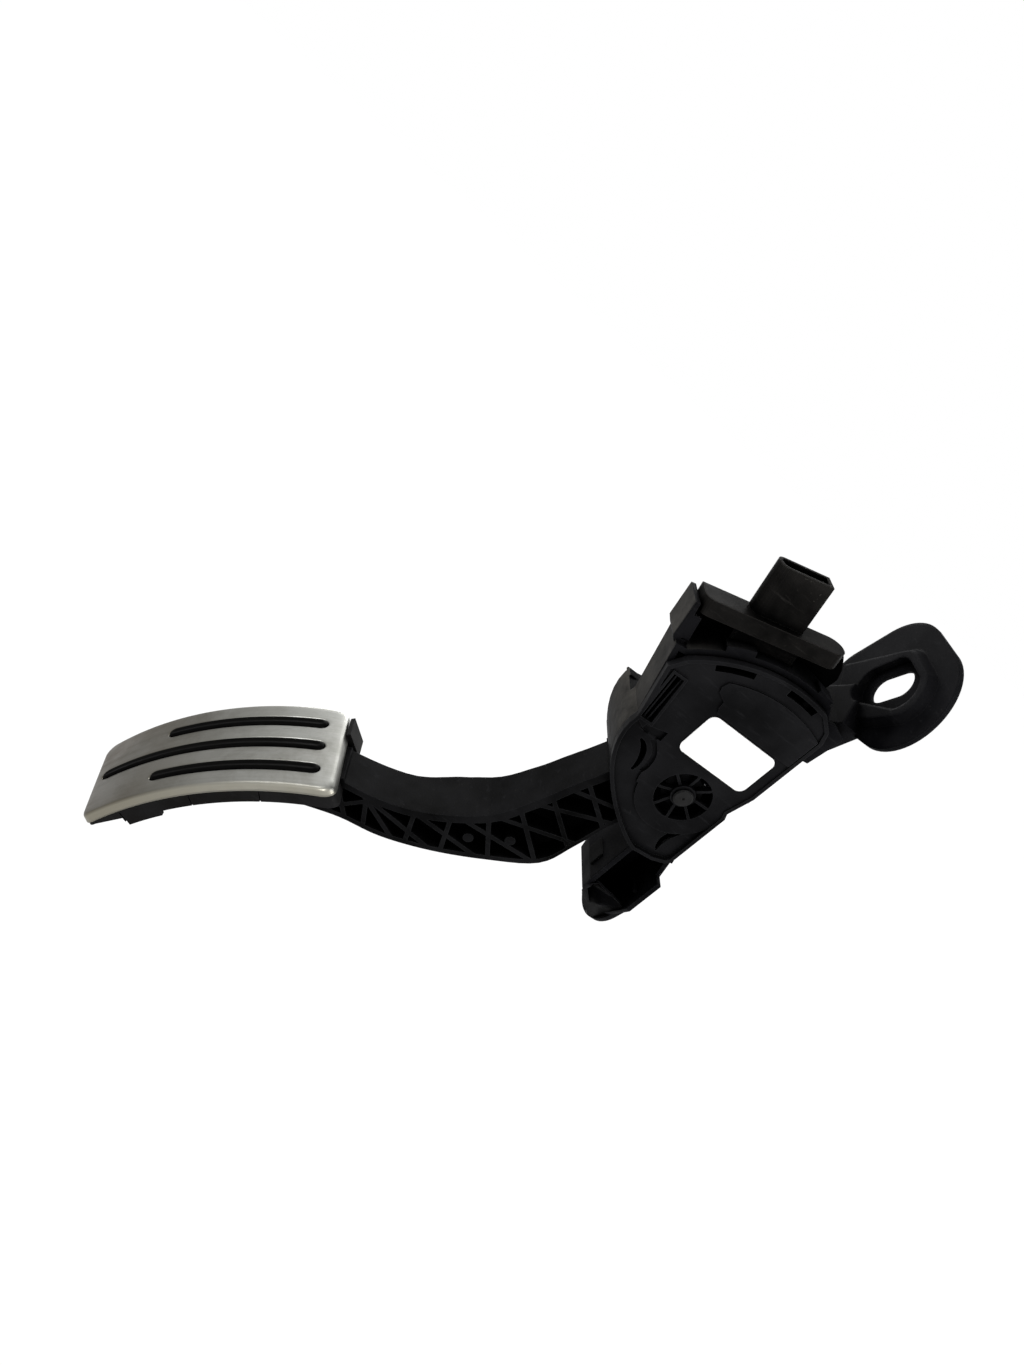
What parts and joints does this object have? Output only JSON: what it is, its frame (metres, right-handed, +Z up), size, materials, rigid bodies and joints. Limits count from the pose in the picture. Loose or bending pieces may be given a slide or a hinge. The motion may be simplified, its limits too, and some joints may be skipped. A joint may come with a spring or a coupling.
{
  "type": "accelerator pedal",
  "caption": "Electronic accelerator pedal: black moulded housing with ear and foot, truss-ribbed arm on a pin, plug-in position sensor and metal-faced pad with rubber bars.",
  "frame": {"origin": "centre of the ear's slot on the plane of the mounting wall", "axes": "+X away from the mounting wall towards the driver, +Y along the pivot pin towards the labelled side, +Z up along the wall"},
  "size_m": [0.2096, 0.0758, 0.2731],
  "materials": {
    "housing_plastic": "moulded, fine texture",
    "cover_plastic": "moulded, satin",
    "label_film": "blank white film",
    "pin_steel": "turned",
    "bush_metal": "sintered",
    "arm_plastic": "moulded, fine texture",
    "magnet_ferrite": "ground",
    "seat_plastic": "natural",
    "spring_steel": "drawn wire",
    "sensor_plastic": "moulded, satin",
    "board_laminate": "solder resist",
    "chip_resin": "moulded resin",
    "contact_brass": "tinned",
    "sleeve_steel": "plated",
    "bumper_rubber": "matt",
    "pad_metal": "brushed, lightly worn",
    "pad_rubber": "matt",
    "carrier_plastic": "moulded"
  },
  "bodies": {
    "base": {"housing": "housing_plastic", "side_cover": "cover_plastic", "id_label": "label_film", "pivot_pin": "pin_steel", "spring_cap": "seat_plastic", "return_spring_outer": "spring_steel", "return_spring_inner": "spring_steel", "sensor_housing": "sensor_plastic", "sensor_lid": "sensor_plastic", "circuit_board": "board_laminate", "hall_chip": "chip_resin", "connector_pins": "contact_brass", "foot_sleeve": "sleeve_steel", "stop_pad": "bumper_rubber", "rest_bumper": "bumper_rubber"},
    "pedal": {"pedal_arm": "arm_plastic", "bush_near": "bush_metal", "bush_far": "bush_metal", "magnet": "magnet_ferrite", "spring_cup": "seat_plastic", "pad_plate": "pad_metal", "pad_mat": "pad_rubber", "pad_carrier": "carrier_plastic"}
  },
  "joints": [
    {"name": "pedal_hinge", "type": "hinge", "parent": "base", "child": "pedal", "pos_m": [0.034, 0, -0.0795], "axis": [0, 1, 0], "range_deg": [0, 17], "stiffness_Nm_per_rad": 5, "springref_deg": -28.65, "deforming": ["return_spring_outer", "return_spring_inner"]}
  ]
}
